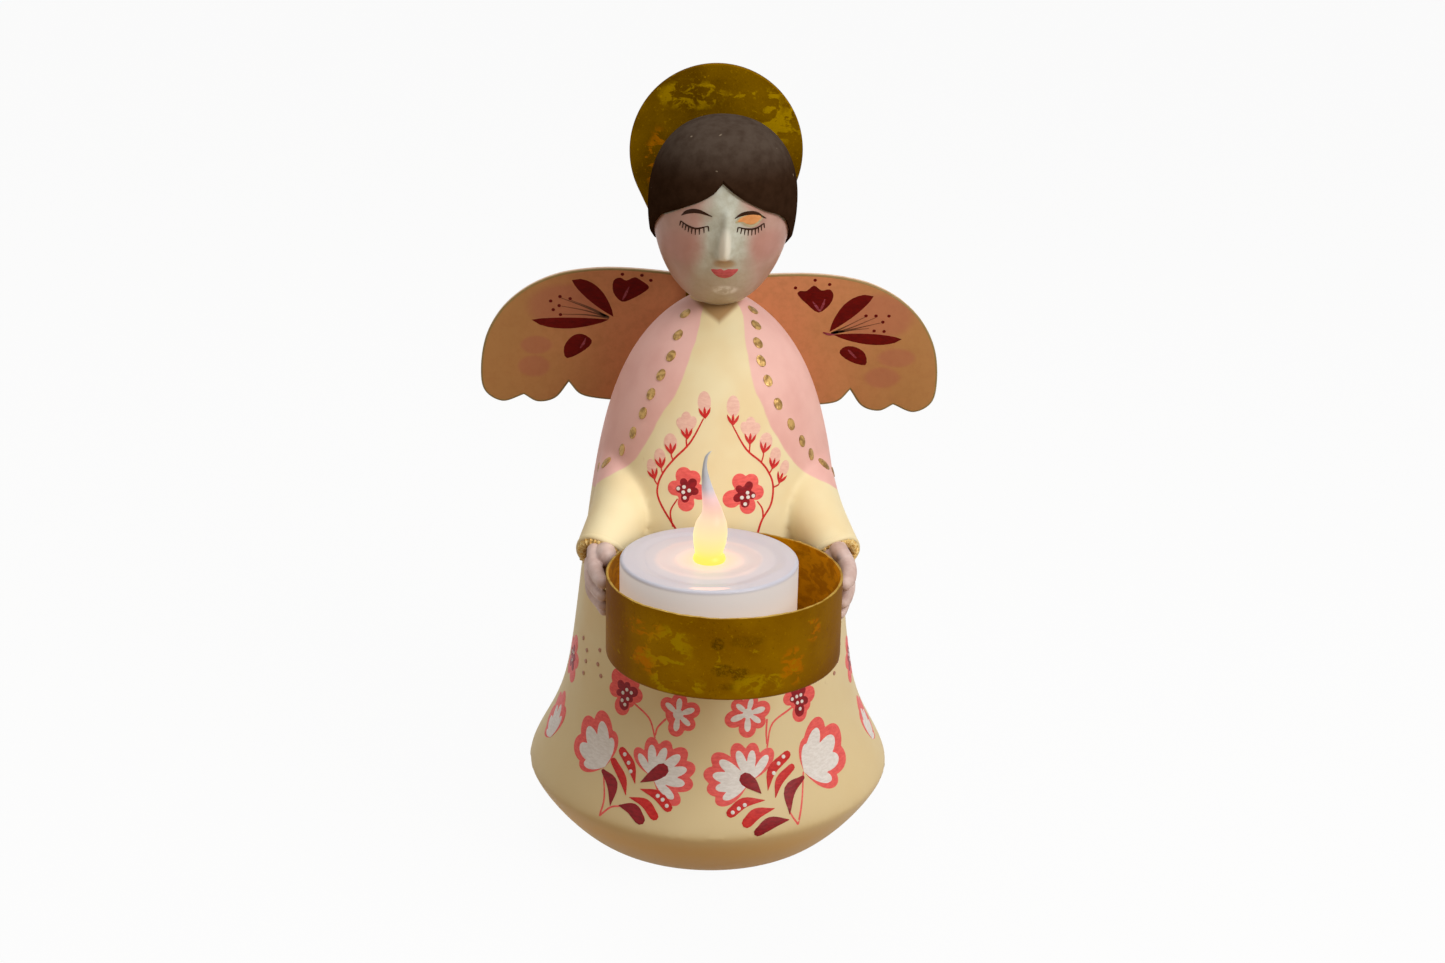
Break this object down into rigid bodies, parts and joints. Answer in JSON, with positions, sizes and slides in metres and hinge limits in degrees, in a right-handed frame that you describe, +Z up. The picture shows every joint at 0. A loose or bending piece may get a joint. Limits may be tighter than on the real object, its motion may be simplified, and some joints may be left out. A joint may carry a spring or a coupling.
{
  "type": "angel candle holder",
  "caption": "Painted angel figure with sheet wings and a gilt halo, holding a round gilt cup in both hands, with an LED tealight resting in the cup",
  "frame": {"origin": "centre of the flat base, on the axis that the robe is turned about", "axes": "+Z up through the head, -Y out of the figure's chest towards the cup, +Y to the wings, +X to the right seen from the front"},
  "size_m": [0.1098, 0.1228, 0.1804],
  "materials": {
    "painted_resin": "matte hand-painted resin in cream, pink, red and brown",
    "gold_leaf": "dark gold leaf over sheet metal, rubbed and speckled",
    "painted_sheet": "satin peach paint with dark red flowers and a gold edge",
    "steel": "plain zinc-plated steel",
    "brass": "bare spring brass",
    "candle_white": "smooth translucent white",
    "flame": "translucent, lit warm from inside",
    "board_green": "lacquered fibreglass board",
    "led_clear": "clear epoxy",
    "switch_black": "moulded black"
  },
  "bodies": {
    "root": {"figure": "painted_resin", "halo": "gold_leaf", "wings": "painted_sheet", "lower_screw": "steel", "upper_screw": "steel", "cup": "gold_leaf", "candle_shell": "candle_white", "candle_flame": "flame", "candle_base": "candle_white", "battery_door": "candle_white", "door_screw": "steel", "coin_cell": "steel", "contact_positive": "brass", "contact_negative": "brass", "circuit_board": "board_green", "led": "led_clear", "switch_body": "steel"},
    "switch": {"switch_knob": "switch_black"}
  },
  "joints": [
    {"name": "switch_slide", "type": "slide", "parent": "root", "child": "switch", "axis": [0, -1, 0], "range_m": [0, 0.002]}
  ]
}
